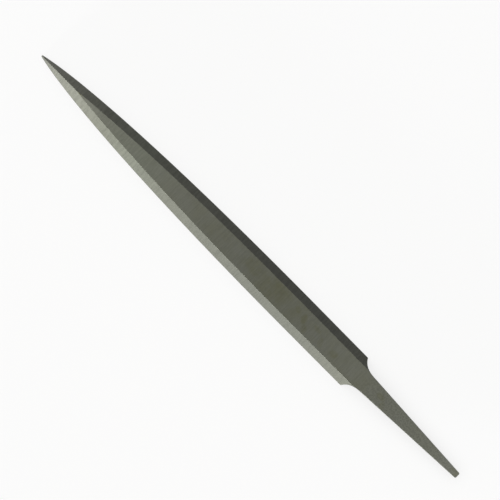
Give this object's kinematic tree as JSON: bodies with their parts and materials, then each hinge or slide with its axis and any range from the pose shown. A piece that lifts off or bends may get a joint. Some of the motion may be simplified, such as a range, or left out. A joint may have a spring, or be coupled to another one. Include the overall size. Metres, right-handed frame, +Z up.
{
  "type": "barrette file",
  "caption": "Tapered hand file of flat trapezoid section: double-cut wide face, smooth narrow back and bevelled safe sides, bare tang.",
  "frame": {"origin": "middle of the length and width, level with the tooth tips that the file lies on", "axes": "+X along the length from the point to the tang, +Y across the width, +Z up out of the narrow back"},
  "size_m": [0.266, 0.0176, 0.0052],
  "materials": {
    "tool_steel": "ground hardened tool steel, satin, faint olive oxide and oil mottling"
  },
  "bodies": {
    "root": {"barrette_file": "tool_steel"}
  },
  "joints": []
}
